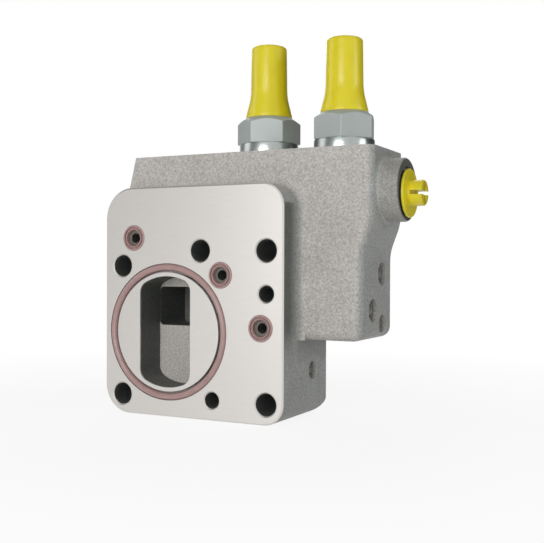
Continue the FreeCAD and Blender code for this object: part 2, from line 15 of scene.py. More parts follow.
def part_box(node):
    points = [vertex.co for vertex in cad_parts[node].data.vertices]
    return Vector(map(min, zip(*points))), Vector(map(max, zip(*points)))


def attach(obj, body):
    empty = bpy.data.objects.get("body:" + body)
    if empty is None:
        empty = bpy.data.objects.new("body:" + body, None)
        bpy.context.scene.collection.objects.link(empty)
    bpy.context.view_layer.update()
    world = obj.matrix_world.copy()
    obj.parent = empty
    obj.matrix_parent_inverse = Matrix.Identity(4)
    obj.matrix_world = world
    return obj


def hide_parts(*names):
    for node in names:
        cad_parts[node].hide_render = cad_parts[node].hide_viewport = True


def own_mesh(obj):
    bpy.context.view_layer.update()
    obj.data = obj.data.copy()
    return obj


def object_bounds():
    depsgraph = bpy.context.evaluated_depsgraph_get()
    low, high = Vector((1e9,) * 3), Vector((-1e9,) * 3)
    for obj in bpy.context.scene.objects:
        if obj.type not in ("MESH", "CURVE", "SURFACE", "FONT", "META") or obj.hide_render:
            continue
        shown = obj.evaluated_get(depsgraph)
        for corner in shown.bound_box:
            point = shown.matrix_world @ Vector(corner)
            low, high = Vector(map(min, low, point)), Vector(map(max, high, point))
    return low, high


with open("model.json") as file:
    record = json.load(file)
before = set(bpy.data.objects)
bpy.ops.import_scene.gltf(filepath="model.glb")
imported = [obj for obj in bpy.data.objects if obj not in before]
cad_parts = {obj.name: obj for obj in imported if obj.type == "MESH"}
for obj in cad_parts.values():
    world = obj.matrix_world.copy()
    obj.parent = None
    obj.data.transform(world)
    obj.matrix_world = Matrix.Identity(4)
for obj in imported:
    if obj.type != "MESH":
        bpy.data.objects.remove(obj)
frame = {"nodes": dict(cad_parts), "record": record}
valve_nodes = frame["nodes"]
cad_low, cad_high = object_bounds()
MM = 0.001
print("nodes", len(valve_nodes), "box in mm", [round(v / MM, 1) for v in (*cad_low, *cad_high)])

# %% [markdown]
# ## Camera
# The photograph looks at the mounting face from the right and almost level with it. The camera was found
# by fitting the outline of the plate and the centres of its holes, so its place is in the valve's own
# millimetres. The picture leans by a fifth of a degree, which is a turn about the line of sight.

# %% Set the camera at the photograph's place
camera_data = bpy.data.cameras.new("valve_camera")
camera_data.sensor_width = 36.0
camera_data.lens = 58.79
camera_data.clip_start = 0.01
camera_data.clip_end = 20.0
camera = bpy.data.objects.new("valve_camera", camera_data)
bpy.context.scene.collection.objects.link(camera)
bpy.context.scene.camera = camera
sight = Vector((-0.4508, 0.8926, -0.00813)).normalized()
lean = Matrix.Rotation(math.radians(0.212), 4, "Z")
place = Matrix.Translation(Vector((203.92, -307.54, 28.06)) * MM)
camera.matrix_world = place @ sight.to_track_quat("-Z", "Y").to_matrix().to_4x4() @ lean
print("camera at", [round(v / MM, 1) for v in camera.location], "mm, lens", round(camera_data.lens, 2))

# %% [markdown]
# ## Colours and nodes
# Colours are written as they look on a screen, as sRGB hex. The shader works in linear light, so one
# function turns them. A finish is a tree of nodes. One function adds a node, sets its settings, and feeds
# each input with either a plain value or the output of another node.


# %% Write the tools that add a node
def linear(hex_colour):
    channels = [int(hex_colour[i : i + 2], 16) / 255 for i in (1, 3, 5)]
    return [c / 12.92 if c <= 0.04045 else ((c + 0.055) / 1.055) ** 2.4 for c in channels] + [1.0]


def new_finish(name):
    finish = bpy.data.materials.new(name)
    finish.use_nodes = True
    finish.node_tree.nodes.clear()
    return finish


def feed(finish, socket, value):
    if isinstance(value, bpy.types.NodeSocket):
        finish.node_tree.links.new(value, socket)
    else:
        socket.default_value = value


def add_node(finish, kind, settings=None, inputs=None):
    node = finish.node_tree.nodes.new(kind)
    for setting, value in (settings or {}).items():
        setattr(node, setting, value)
    for name, value in (inputs or {}).items():
        feed(finish, next(s for s in node.inputs if s.name == name and s.enabled), value)
    return node


def result(node):
    return next(s for s in node.outputs if s.enabled)


print("mid grey", [round(v, 3) for v in linear("#808080")])

# %% [markdown]
# ### Four nodes that every finish uses
# These are a sum or comparison of two values, a mix of two colours, a range of values spread over
# another, and noise with grains of a given size. Object coordinates are in metres here, so the noise
# turns a size in millimetres into the scale that its node wants.


# %% Write the tools for sums, mixes, ranges and noise
def compute(finish, operation, *values, kind="ShaderNodeMath"):
    node = add_node(finish, kind, {"operation": operation})
    for socket, value in zip(node.inputs, values):
        feed(finish, socket, value)
    return result(node)


def mix(finish, share, under, over, way="MIX"):
    settings = {"data_type": "RGBA", "blend_type": way}
    return result(add_node(finish, "ShaderNodeMix", settings, {"Factor": share, "A": under, "B": over}))


def spread(finish, value, start, end, low, high, shape="LINEAR"):
    inputs = {"Value": value, "From Min": start, "From Max": end, "To Min": low, "To Max": high}
    return result(add_node(finish, "ShaderNodeMapRange", {"interpolation_type": shape}, inputs))


def noise(finish, place, size_mm, detail=2.0, roughness=0.5):
    inputs = {"Vector": place, "Scale": 1.0 / (size_mm * MM), "Detail": detail, "Roughness": roughness}
    return result(add_node(finish, "ShaderNodeTexNoise", inputs=inputs))


print("noise of 1 mm grain has the scale", round(1.0 / MM))

# %% [markdown]
# ## Plain metals and plastics share one recipe
# Most small pieces have one colour that drifts a little over some millimetres, a roughness that drifts
# with it by a fifth either way, and a fine relief. The recipe takes the sizes and strengths of these. The
# table of finishes further down gives them for each material.


# %% Write the recipe for a plain finish
def plain_finish(
    name, colour, other_colour, drift_mm, metallic, roughness, relief_mm, height_mm, shader=None
):
    finish = new_finish(name)
    place = add_node(finish, "ShaderNodeTexCoord").outputs["Object"]
    drift = noise(finish, place, drift_mm, detail=3.0)
    relief = {"Height": noise(finish, place, relief_mm), "Distance": height_mm * MM}
    look = {
        "Base Color": mix(finish, drift, linear(colour), linear(other_colour)),
        "Metallic": metallic,
        "Roughness": spread(finish, drift, 0.0, 1.0, roughness * 0.8, roughness * 1.2),
        "Normal": result(add_node(finish, "ShaderNodeBump", inputs=relief)),
        **(shader or {}),
    }
    surface = result(add_node(finish, "ShaderNodeBsdfPrincipled", inputs=look))
    add_node(finish, "ShaderNodeOutputMaterial", inputs={"Surface": surface})
    return finish


print("recipe ready")

# %% [markdown]
# ## Grey cast iron, cast and then machined
# The casting is poured in sand and blasted, so its skin is a light grey with darker and lighter grains
# about a millimetre across. The mounting face, the top that the adjusters seat on and the seats under the
# screw heads are milled afterwards and are bright. One finish holds all of them, because it is one piece
# of iron. Each place is found by where it lies in the valve's own coordinates, in millimetres, and by how
# squarely its surface faces an axis.

# %% Find the machined places of the casting
cast_iron = new_finish("grey_cast_iron_blasted_and_milled")
coordinates = add_node(cast_iron, "ShaderNodeTexCoord")
spot = coordinates.outputs["Object"]
outward = coordinates.outputs["Normal"]
facing = add_node(cast_iron, "ShaderNodeSeparateXYZ", inputs={"Vector": outward}).outputs
along = add_node(cast_iron, "ShaderNodeSeparateXYZ", inputs={"Vector": spot}).outputs


def iron(operation, first, second):
    return compute(cast_iron, operation, first, second)


def part_between(*spans):
    share = 1.0
    for axis, low, high in spans:
        share = iron("MULTIPLY", share, iron("GREATER_THAN", along[axis], low * MM))
        share = iron("MULTIPLY", share, iron("LESS_THAN", along[axis], high * MM))
    return share


FACE_DEPTH, TOP_LEVEL, SEAT_LEVEL, SQUARE_ON = 0.65, 74.4, 41.5, 0.9
mounting_face = iron("LESS_THAN", along["Y"], FACE_DEPTH * MM)
top_side = iron("MULTIPLY", iron("GREATER_THAN", along["Z"], TOP_LEVEL * MM),
                iron("GREATER_THAN", facing["Z"], SQUARE_ON))
screw_seat = iron("MULTIPLY", part_between(("Y", SEAT_LEVEL - 0.05, SEAT_LEVEL + 0.05)),
                  iron("GREATER_THAN", facing["Y"], SQUARE_ON))
milled = iron("MAXIMUM", iron("MAXIMUM", mounting_face, top_side), screw_seat)
print("milled places found: mounting face, top, screw seats")

# %% [markdown]
# ### Colour and gloss of the iron
# Sand leaves grains, which are noise of 0.75 mm in three greys, with a slow cloud of 12 mm over them. The
# skin that faces right is made a little darker and cooler, which is painted shade. The milled places are
# metal with a soft gloss, in faint streaks 0.5 mm apart that are drawn coarser than a real cutter leaves
# them, so that they show.

# %% Mix the cast skin with the milled metal
grains = noise(cast_iron, spot, 0.75, 3.0, 0.6)
skin = add_node(cast_iron, "ShaderNodeValToRGB", inputs={"Fac": grains})
greys = skin.color_ramp.elements
greys.new(0.5)
for grey, position, colour in zip(greys, (0.34, 0.5, 0.68), ("#AEAAA7", "#C8C5C1", "#DDDAD7")):
    grey.position = position
    grey.color = linear(colour)
cloud = mix(cast_iron, noise(cast_iron, spot, 12.0), linear("#E4E2DF"), linear("#FFFFFF"))
clouded = mix(cast_iron, 1.0, skin.outputs["Color"], cloud, "MULTIPLY")
# Painted shade: skin that faces right is multiplied darker and cooler.
right_facing_painted_shade = spread(cast_iron, facing["X"], 0.35, 0.9, 0.0, 1.0, "SMOOTHSTEP")
cast_skin_with_side_shade = mix(cast_iron, right_facing_painted_shade, clouded, linear("#D9E0E1"), "MULTIPLY")
long_way = add_node(cast_iron, "ShaderNodeMapping", inputs={"Vector": spot, "Scale": (0.06, 1.0, 1.0)})
streaks = noise(cast_iron, result(long_way), 0.5)
bright = mix(cast_iron, streaks, linear("#CCC9C5"), linear("#D4D1CD"))
iron_colour = mix(cast_iron, milled, cast_skin_with_side_shade, bright)
iron_gloss = spread(cast_iron, milled, 0.0, 1.0, 0.62, 0.42)
print("cast colours and milled colours mixed")

# %% [markdown]
# ### Painted shade in the holes and the recesses
# The drilled holes and the deep window are darkened strongly, a painted shade that makes them look black
# from outside. A hole is found by its distance from the line through its centre, given below as X, Z and
# radius. A lighter painted shade darkens the pocket's walls, the boss's end behind the plug, and the
# plate's flank beside the body, where it fades out towards all edges. The boss and the seats of the small
# seals are darkened a little. Each place multiplies the colour that lies under it.

# %% Find the drilled holes and the seats of the small seals
WIDE, NARROW, PORT = 4.5, 3.3, 2.0
HOLES = [
    (15.7, 33.4, WIDE), (45.85, 33.4, WIDE), (-22.4, 27.2, WIDE), (-22.4, -26.9, WIDE),
    (45.85, -26.9, WIDE), (45.85, 16.4, NARROW), (21.4, -26.9, NARROW),
    (-16.6, 38.9, PORT), (25.4, 23.6, PORT), (43.6, 2.9, PORT),
]
BEHIND_FACE, PORT_END, SEAT_RADIUS = 0.7, 48.0, 5.45
flattened = compute(cast_iron, "MULTIPLY", spot, (1, 0, 1), kind="ShaderNodeVectorMath")
drilled = seats = 0.0
for x, z, radius in HOLES:
    away = compute(cast_iron, "DISTANCE", flattened, (x * MM, 0, z * MM), kind="ShaderNodeVectorMath")
    inside = iron("LESS_THAN", away, (radius + 0.1) * MM)
    if radius == PORT:
        inside = iron("MULTIPLY", inside, iron("LESS_THAN", along["Y"], PORT_END * MM))
        seats = iron("MAXIMUM", seats, iron("LESS_THAN", away, SEAT_RADIUS * MM))
    drilled = iron("MAXIMUM", drilled, inside)
drilled = iron("MULTIPLY", drilled, iron("GREATER_THAN", along["Y"], BEHIND_FACE * MM))
print("drilled holes", len(HOLES))

# %% Paint shade into the holes and recesses, and darken the seats and the boss
window = part_between(("X", -13.4, 11.4), ("Y", 15.3, 35.2), ("Z", 1.6, 18.4))
pocket = part_between(("X", -13.4, 11.4), ("Y", BEHIND_FACE, 15.2), ("Z", -23.1, 23.1))
pocket_wall = iron("MULTIPLY", pocket, iron("GREATER_THAN", facing["Y"], -0.7))
# Painted shade in the corner between the plate's flank and the body.
flank = part_between(("X", 53.3, 53.7), ("Y", BEHIND_FACE, 14.2))
for axis, clear, dark in (("Y", 13.0, 5.0), ("Z", -14.0, 6.0), ("Z", 58.0, 50.0)):
    fade_in = spread(cast_iron, along[axis], clear * MM, dark * MM, 0.0, 1.0, "SMOOTHSTEP")
    flank = iron("MULTIPLY", flank, fade_in)
# Painted shade for the pocket walls, the flank, the boss's end, the holes and the window; the boss and the
# seal seats are only darkened.
painted_shade_and_darker_places = {
    "#8C8F8C": pocket_wall,
    "#939592": flank,
    "#D9DAD8": part_between(("X", 85.5, 92.9)),
    "#7C7D7A": part_between(("X", 92.9, 95.0)),
    "#98958F": iron("MULTIPLY", seats, part_between(("Y", BEHIND_FACE, 2.5))),
    "#868A88": iron("MAXIMUM", drilled, window),
}
for colour, share in painted_shade_and_darker_places.items():
    iron_colour = mix(cast_iron, share, iron_colour, linear(colour), "MULTIPLY")
print("places darkened", len(painted_shade_and_darker_places))

# %% [markdown]
# ### Relief of the iron
# The sand's relief is noise of 0.7 mm. Towards the left, the skin is rougher, like orange peel 2.4 mm
# across, so that is added there. The milled places have only the height of their streaks.

# %% Give the iron its relief and finish it
sand = noise(cast_iron, spot, 0.7, 3.0, 0.6)
peel = noise(cast_iron, spot, 2.4, 1.0)
peel_share = spread(cast_iron, along["X"], 45.0 * MM, 5.0 * MM, 0.0, 2.2, "SMOOTHSTEP")
rough_sand = iron("ADD", sand, iron("MULTIPLY", peel, peel_share))
sand_height = iron("MULTIPLY", rough_sand, iron("SUBTRACT", 1.0, milled))
mill_height = iron("MULTIPLY", iron("MULTIPLY", streaks, 0.06), milled)
relief = {"Height": iron("ADD", sand_height, mill_height), "Distance": 0.09 * MM}
iron_look = {
    "Base Color": iron_colour,
    "Metallic": milled,
    "Roughness": iron_gloss,
    "Normal": result(add_node(cast_iron, "ShaderNodeBump", inputs=relief)),
}
iron_surface = result(add_node(cast_iron, "ShaderNodeBsdfPrincipled", inputs=iron_look))
add_node(cast_iron, "ShaderNodeOutputMaterial", inputs={"Surface": iron_surface})
print("finish", cast_iron.name, "has", len(cast_iron.node_tree.nodes), "nodes")

# %% [markdown]
# ## The other finishes
# The covers, screws and nuts are turned steel, zinc plated and clear passivated, a dull silver with a
# cool tint. The caps and the port plug are moulded polyethylene, a strong yellow with a soft gloss and a
# little light inside. The face seals are brownish pink fluorocarbon rubber, the hidden ones black nitrile
# rubber. The cups and balls of the expander plugs are phosphated, and their grey is darkened further as
# painted shade of the mouths they sit in. The bore plugs below are blackened, the spools and seats are
# ground steel, the springs shot-peened wire, the orifice brass. After its two colours, each line gives the
# size of the colour's drift in millimetres, how metallic and how rough it is, and the grain and height of
# its relief in millimetres.

# %% Make the other finishes
finishes = {
    "cast_body": cast_iron,
    "zinc_steel": plain_finish(
        "turned_steel_zinc_plated", "#A4AAA8", "#B1B7B5", 6.0, 0.25, 0.52, 0.8, 0.006
    ),
    "yellow_plastic": plain_finish(
        "polyethylene_moulded_yellow", "#E5D416", "#ECDD26", 5.0, 0.0, 0.3, 1.2, 0.008,
        {"IOR": 1.52, "Subsurface Weight": 0.08, "Subsurface Scale": 0.002},
    ),
    "face_seal": plain_finish(
        "fluorocarbon_rubber_moulded", "#A78784", "#B79895", 3.0, 0.0, 0.3, 0.7, 0.01, {"IOR": 1.5}
    ),
    "black_seal": plain_finish(
        "nitrile_rubber_moulded", "#1E1D1C", "#2A2928", 3.0, 0.0, 0.5, 0.7, 0.01, {"IOR": 1.5}
    ),
    # Partly painted shade: the cups' grey is also darkened for the shade in the drillings' mouths.
    "plug_steel": plain_finish(
        "pressed_steel_phosphated_and_shade_darkened", "#6A6A67", "#7A7A77", 2.0, 0.3, 0.45, 0.6, 0.01
    ),
    "black_steel": plain_finish(
        "steel_blackened_in_salt", "#2B2C2D", "#3A3B3C", 2.5, 0.85, 0.4, 0.5, 0.006
    ),
    "ground_steel": plain_finish(
        "hardened_steel_ground", "#BDBEBE", "#CDCECE", 4.0, 1.0, 0.18, 0.5, 0.002
    ),
    "spring_steel": plain_finish(
        "spring_wire_shot_peened", "#77797A", "#8E9091", 1.5, 1.0, 0.42, 0.5, 0.012
    ),
    "brass": plain_finish("brass_turned", "#C9A24B", "#D6B25C", 2.0, 1.0, 0.25, 0.5, 0.004),
}
slot_of_node = {entry["node"]: entry["material_slot"] for entry in frame["record"]["subparts"]}
print("finishes", len(finishes), "used by nodes", len(set(slot_of_node.values())))

# %% [markdown]
# ### Skimmed collars
# The covers' collars are skimmed bright where they press on the seal, which gives the shining line below
# the hexagon. Only that band of the zinc finish, found by its height, turns into smooth metal. Its
# metallic and roughness inputs each get a mix of the dull value that they had and the bright one.

# %% Make the collars bright
COLLAR_LOW, COLLAR_HIGH = 74.6, 78.9
zinc = finishes["zinc_steel"]
zinc_spot = add_node(zinc, "ShaderNodeTexCoord").outputs["Object"]
level = add_node(zinc, "ShaderNodeSeparateXYZ", inputs={"Vector": zinc_spot}).outputs["Z"]
collar_part = compute(zinc, "MULTIPLY", compute(zinc, "GREATER_THAN", level, COLLAR_LOW * MM),
                      compute(zinc, "LESS_THAN", level, COLLAR_HIGH * MM))
for name, skimmed in (("Metallic", 0.95), ("Roughness", 0.26)):
    socket = zinc.node_tree.nodes["Principled BSDF"].inputs[name]
    dull = socket.links[0].from_socket if socket.is_linked else socket.default_value
    ends = {"Factor": collar_part, "A": dull, "B": skimmed}
    feed(zinc, socket, result(add_node(zinc, "ShaderNodeMix", {"data_type": "FLOAT"}, ends)))
print("collars bright from", COLLAR_LOW, "to", COLLAR_HIGH, "mm")

# %% [markdown]
# ## Tools for making pieces by hand
# Turned pieces are drawn as half an outline, in millimetres from the piece's own foot, and spun about the
# Z axis, as a lathe would turn them. A plane merged to one point starts the line, and each next point is
# extruded from the last. Most edit-mode steps begin in the same way, with one piece opened and all of it
# selected, so that is a tool too.


# %% Write the tool that turns an outline
def clear_hand():
    bpy.ops.object.select_all(action="DESELECT")


def pick(piece):
    clear_hand()
    piece.select_set(True)
    bpy.context.view_layer.objects.active = piece


def open_all(piece):
    pick(piece)
    bpy.ops.object.mode_set(mode="EDIT")
    bpy.ops.mesh.select_all(action="SELECT")


def turn_outline(name, outline, steps=96):
    clear_hand()
    bpy.ops.mesh.primitive_plane_add(size=MM)
    piece = bpy.context.object
    piece.name = name
    open_all(piece)
    bpy.ops.mesh.merge(type="CENTER")
    points = [Vector((r, 0, h)) * MM for r, h in outline]
    bpy.ops.transform.translate(value=points[0])
    for start, end in zip(points, points[1:]):
        bpy.ops.mesh.extrude_vertices_move(TRANSFORM_OT_translate={"value": end - start})
    bpy.ops.mesh.select_all(action="SELECT")
    bpy.ops.mesh.spin(steps=steps, angle=2 * math.pi, center=(0, 0, 0), axis=(0, 0, 1))
    bpy.ops.mesh.select_all(action="SELECT")
    bpy.ops.mesh.remove_doubles(threshold=0.002 * MM)
    bpy.ops.mesh.normals_make_consistent(inside=False)
    bpy.ops.object.mode_set(mode="OBJECT")
    return piece


print("turning tool ready")

# %% [markdown]
# ### Softening, carving and joining
# Edges are broken by a Bevel modifier that takes only the sharp ones. A cut is a Boolean with a second
# piece. It can leave pairs of points that lie on each other, which are faces without area, so these are
# merged after each cut.


# %% Write the tools that soften, carve and join
def soften(piece, width, segments=3, angle=35):
    pick(piece)
    edge = piece.modifiers.new("soft_edges", "BEVEL")
    edge.width = width * MM
    edge.segments = segments
    edge.limit_method = "ANGLE"
    edge.angle_limit = math.radians(angle)
    bpy.ops.object.modifier_apply(modifier=edge.name)


def carve(piece, cutter, operation="DIFFERENCE"):
    pick(piece)
    cut = piece.modifiers.new("carve", "BOOLEAN")
    cut.operation = operation
    cut.solver = "EXACT"
    cut.object = cutter
    bpy.ops.object.modifier_apply(modifier=cut.name)
    bpy.data.objects.remove(cutter)
    open_all(piece)
    bpy.ops.mesh.remove_doubles(threshold=0.0005 * MM)
    bpy.ops.object.mode_set(mode="OBJECT")


def join(first, *others):
    pick(first)
    for other in others:
        other.select_set(True)
    bpy.ops.object.join()


print("cutting tools ready")

# %% [markdown]
# ### Seating and dressing
# A finished piece is laid along its real direction and set on its place, and this place is written into
# its mesh. Then it gets its smoothing, its finish and the body that it rides on, and it stands for the
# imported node. The print says how far its box lies from the node's box, which should be less than a tenth
# of a millimetre.

# %% Write the tools that seat and dress a piece
LAY = {"Z": (0, 0, 0), "X": (0, math.pi / 2, 0), "-X": (0, -math.pi / 2, 0), "Y": (-math.pi / 2, 0, 0)}
body_of_node = {}
for body, members in frame["record"]["behaviour"]["bodies"].items():
    for member in members:
        body_of_node[member] = body


def seat(piece, place, toward="Z", turn=0.0):
    pick(piece)
    lay = Matrix.Rotation(math.radians(turn), 4, "Z")
    for angle, axis in zip(LAY[toward], "XYZ"):
        lay = Matrix.Rotation(angle, 4, axis) @ lay
    piece.matrix_world = Matrix.Translation(Vector(place) * MM) @ lay @ piece.matrix_world
    bpy.ops.object.transform_apply(location=True, rotation=True, scale=True)


def away_from_node(piece, node):
    corners = [Vector(corner) for corner in piece.bound_box]
    low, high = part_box(node)
    gaps = []
    for i in range(3):
        gaps.append(abs(min(corner[i] for corner in corners) - low[i]))
        gaps.append(abs(max(corner[i] for corner in corners) - high[i]))
    return max(gaps)


def dress(piece, node, angle=30):
    pick(piece)
    bpy.ops.object.shade_smooth_by_angle(angle=math.radians(angle))
    slot = slot_of_node[node]
    piece.data.materials.clear()
    piece.data.materials.append(finishes[slot])
    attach(piece, body_of_node[node])
    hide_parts(node)
    spare = round(away_from_node(piece, node) / MM, 2)
    print(piece.name, "faces", len(piece.data.polygons), "furthest from its node's box", spare, "mm")


# %% [markdown]
# ## Housing
# The casting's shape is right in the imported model, down to its fillets, so it isn't modelled again. Its
# mesh is loose triangles, so a copy is merged and shaded smooth across the rounded edges, and weighted
# normals keep the flat faces flat. The copy then stands for the node.

# %% Merge and smooth a copy of the casting
casting_mesh = valve_nodes["housing"].data.copy()
casting = bpy.data.objects.new("housing_casting", casting_mesh)
bpy.context.scene.collection.objects.link(casting)
open_all(casting)
bpy.ops.mesh.customdata_custom_splitnormals_clear()
bpy.ops.mesh.remove_doubles(threshold=0.0005 * MM)
bpy.ops.object.mode_set(mode="OBJECT")
dress(casting, "housing", angle=28)
weights = casting.modifiers.new("flat_faces_stay_flat", "WEIGHTED_NORMAL")
weights.keep_sharp = True
weights.weight = 100
bpy.ops.object.modifier_apply(modifier=weights.name)
print("casting points", len(casting.data.vertices))

# %% [markdown]
# ## Rubber rings
# A seal ring is moulded in two halves, so a thin flash line runs round its inside and outside where the
# moulds meet. Each ring starts as a torus. The loops of points at its largest and smallest radius are
# selected by their place and moved out or in by three hundredths of a millimetre, which gives that line.
# The large ring is squeezed narrower than its cord is deep, so its width is given too. All the rings are
# made by one function. The two adjusters stand 31 mm behind the mounting face, at X 31.3 and 65.9 mm, and
# the signal port's axis crosses theirs at a height of 56.4 mm.


# %% Write the tool for a rubber ring
def rubber_ring(name, node, place, toward, middle, cord, width=None, around=160):
    width = width or cord
    clear_hand()
    bpy.ops.mesh.primitive_torus_add(
        major_radius=middle * MM, minor_radius=width / 2 * MM, major_segments=around, minor_segments=24
    )
    piece = bpy.context.object
    piece.name = name
    bpy.ops.transform.resize(value=(1, 1, cord / width))
    bpy.ops.object.transform_apply(location=True, rotation=True, scale=True)
    for side in (1, -1):
        edge = (middle + side * width / 2) * MM
        bpy.ops.object.mode_set(mode="EDIT")
        bpy.ops.mesh.select_all(action="DESELECT")
        bpy.ops.object.mode_set(mode="OBJECT")
        for point in piece.data.vertices:
            point.select = abs(point.co.to_2d().length - edge) < 0.002 * MM
        bpy.ops.object.mode_set(mode="EDIT")
        grow = 1 + side * 0.03 * MM / edge
        bpy.ops.transform.resize(value=(grow, grow, 1))
        bpy.ops.object.mode_set(mode="OBJECT")
    seat(piece, place, toward)
    dress(piece, node)


# %% Make every rubber ring
BORE_Y = 31.0
SIDES = {"cutoff": 31.3, "sensing": 65.9}
SIGNAL_PORT_Z = 56.4
rubber_ring("large_face_seal", "face_seal", (0, 1.015, 0), "Y", 26.75, 3.5, width=2.9, around=256)
rubber_ring("port_plug_seal", "guard_plug_ring", (92.44, BORE_Y, SIGNAL_PORT_Z), "X", 7.95, 1.8)
for side, x in SIDES.items():
    rubber_ring(side + "_collar_seal", side + "_cover_ring", (x, BORE_Y, 73.56), "Z", 10.94, 1.8)
    rubber_ring(side + "_plunger_seal", side + "_plunger_ring", (x, BORE_Y, 75.4), "Z", 6.06, 1.8)

# %% [markdown]
# ### Port seals
# The three small rings in the mounting face show two fine beads with a dark groove between them. So they
# aren't plain rings: the section is drawn with two rounded lips that press on the pump, and turned like
# any other outline. Unpressed, the lips stand proud of the face.

# %% Turn the three port seals
lips = [
    (3.36, 2.0), (3.36, 0.4), (3.5, 0.12), (3.72, 0.0), (3.95, 0.12), (4.06, 0.4), (4.1, 0.95),
    (4.5, 0.95), (4.55, 0.4), (4.66, 0.12), (4.9, 0.0), (5.18, 0.12), (5.34, 0.4), (5.36, 0.8),
    (5.36, 2.0), (3.36, 2.0),
]
LIPS_PROUD = 0.44
port_rings = []
for x, z, radius in HOLES:
    if radius == PORT:
        port_ring = turn_outline("port_ring", lips, 64)
        seat(port_ring, (x, -LIPS_PROUD, z), "Y")
        port_rings.append(port_ring)
port_rings[0].name = "lipped_port_seals"
join(*port_rings)
dress(port_rings[0], "port_seals", angle=50)

# %% [markdown]
# ## Yellow caps
# Each cap is a thin moulded cup that is pressed over the lock nut. It has a rounded top with a small
# dimple where the plastic came in, a slight taper so that it left its mould, and a skirt that widens as a
# cone to a rim. An arc leads from the straight part into the cone. The outline is turned once and copied
# to the second adjuster.

# %% Turn the cap and copy it
CAP_FOOT, CAP_HEIGHT = 90.0, 30.4
rim, waist, waist_height, top, corner = 9.85, 7.75, 12.4, 7.5, 1.4
cone, sweep = math.atan(0.215), 26.0
hollow = [(0, 28.4), (5.6, 28.4), (6.0, 28.0), (6.0, 4.15), (7.65, 4.15), (7.66, 0.0)]
skirt = [(rim - 0.15, 0.0), (rim, 0.15), (rim, 0.8)]
for i in range(9):
    angle = cone * (1 - i / 8)
    skirt.append((waist + sweep * (1 - math.cos(angle)), waist_height - sweep * math.sin(angle)))
crown = []
for i in range(7):
    angle = math.pi / 2 * i / 6
    crown.append((top - corner + corner * math.cos(angle), CAP_HEIGHT - corner + corner * math.sin(angle)))
dimple = [(1.5, CAP_HEIGHT), (1.2, 30.2), (0.35, 30.15), (0.3, 30.35), (0, 30.35)]
first_cap = turn_outline("cutoff_yellow_cap", hollow + skirt + crown + dimple, steps=128)
second_cap = bpy.data.objects.new("sensing_yellow_cap", first_cap.data.copy())
bpy.context.scene.collection.objects.link(second_cap)
for cap, side in ((first_cap, "cutoff"), (second_cap, "sensing")):
    seat(cap, (SIDES[side], BORE_Y, CAP_FOOT))
    dress(cap, side + "_cap", angle=50)

# %% [markdown]
# ## Screw-in covers
# A cover is turned from hexagon bar: the lathe leaves a round collar below, and a chamfer that bites the
# hexagon's corners into curves above. So a six-sided prism is kept only where a turned blank overlaps it,
# its upright edges are softened, and the turned collar and shank are joined below. The bore for the
# plunger and the threaded hole for the adjusting screw are cut with one stepped cutter.

# %% Make both covers
COVER_FOOT, HEX_WIDTH, HEX_TOP, HEX_FOOT = 79.0, 23.4, 11.0, -0.2
blank_outline = [(0, -0.6), (14.2, -0.6), (14.2, 7.794), (9.83, HEX_TOP), (0, HEX_TOP)]
cutter_outline = [(0, -1), (7, -1), (7, 4.5), (4.05, 4.5), (4.05, 12), (0, 12)]
collar_outline = [
    (7.0, -17.5), (9.4, -17.5), (10.0, -16.9), (10.0, -5.2), (9.6, -4.8), (9.6, -4.5), (11.9, -4.5),
    (12.5, -3.9), (12.5, -0.6), (12.35, -0.2), (11.9, 0.0), (7.0, 0.0), (7.0, -17.5),
]
for side, turn in (("cutoff", 21.9), ("sensing", 46.7)):
    clear_hand()
    bpy.ops.mesh.primitive_cylinder_add(
        vertices=6, radius=HEX_WIDTH / math.sqrt(3) * MM, depth=(HEX_TOP - HEX_FOOT) * MM,
        location=(0, 0, (HEX_TOP + HEX_FOOT) / 2 * MM),
    )
    hexagon = bpy.context.object
    hexagon.name = side + "_cover_turned"
    bpy.ops.object.transform_apply(location=True, rotation=True, scale=True)
    soften(hexagon, 0.35, angle=50)
    carve(hexagon, turn_outline("chamfer_blank", blank_outline, 128), "INTERSECT")
    carve(hexagon, turn_outline("stepped_cutter", cutter_outline, 64))
    join(hexagon, turn_outline("collar", collar_outline, 128))
    seat(hexagon, (SIDES[side], BORE_Y, COVER_FOOT), turn=turn - 30)
    dress(hexagon, side + "_cover", angle=25)

# %% [markdown]
# ## Threads
# A thread is a ridge with a three-sided section that climbs round a core. A circle of three points is
# that section. The Screw modifier winds it up the axis by one pitch a turn, and its two open ends are
# closed. The same tool winds the springs later, with a round section.


# %% Write the tool for a wound ridge or wire
def wind(name, section_sides, section_radius, radius, climb, turns, steps_a_turn):
    clear_hand()
    bpy.ops.mesh.primitive_circle_add(
        vertices=section_sides, radius=section_radius * MM, rotation=(math.pi / 2, 0, 0)
    )
    coil = bpy.context.object
    coil.name = name
    bpy.ops.object.transform_apply(location=True, rotation=True, scale=True)
    open_all(coil)
    if section_sides == 3:
        bpy.ops.transform.rotate(value=-math.pi / 2, orient_axis="Y", center_override=(0, 0, 0))
    bpy.ops.transform.translate(value=(radius * MM, 0, 0))
    bpy.ops.object.mode_set(mode="OBJECT")
    winding = coil.modifiers.new("winding", "SCREW")
    winding.angle = 2 * math.pi * turns
    winding.screw_offset = climb * MM
    winding.steps = winding.render_steps = int(steps_a_turn * turns)
    winding.use_normal_calculate = True
    bpy.ops.object.modifier_apply(modifier=winding.name)
    open_all(coil)
    bpy.ops.mesh.fill_holes(sides=0)
    bpy.ops.mesh.select_all(action="SELECT")
    bpy.ops.mesh.normals_make_consistent(inside=False)
    bpy.ops.object.mode_set(mode="OBJECT")
    return coil


print("winding tool ready")

# %% [markdown]
# ### Adjusting screws
# Each is a stud with a 1.25 mm thread and a hexagon socket in its top, for the key that sets the spring.
# It is seen when the cap is off. The core is turned, the socket is cut with a six-sided key, and the
# thread is wound on.

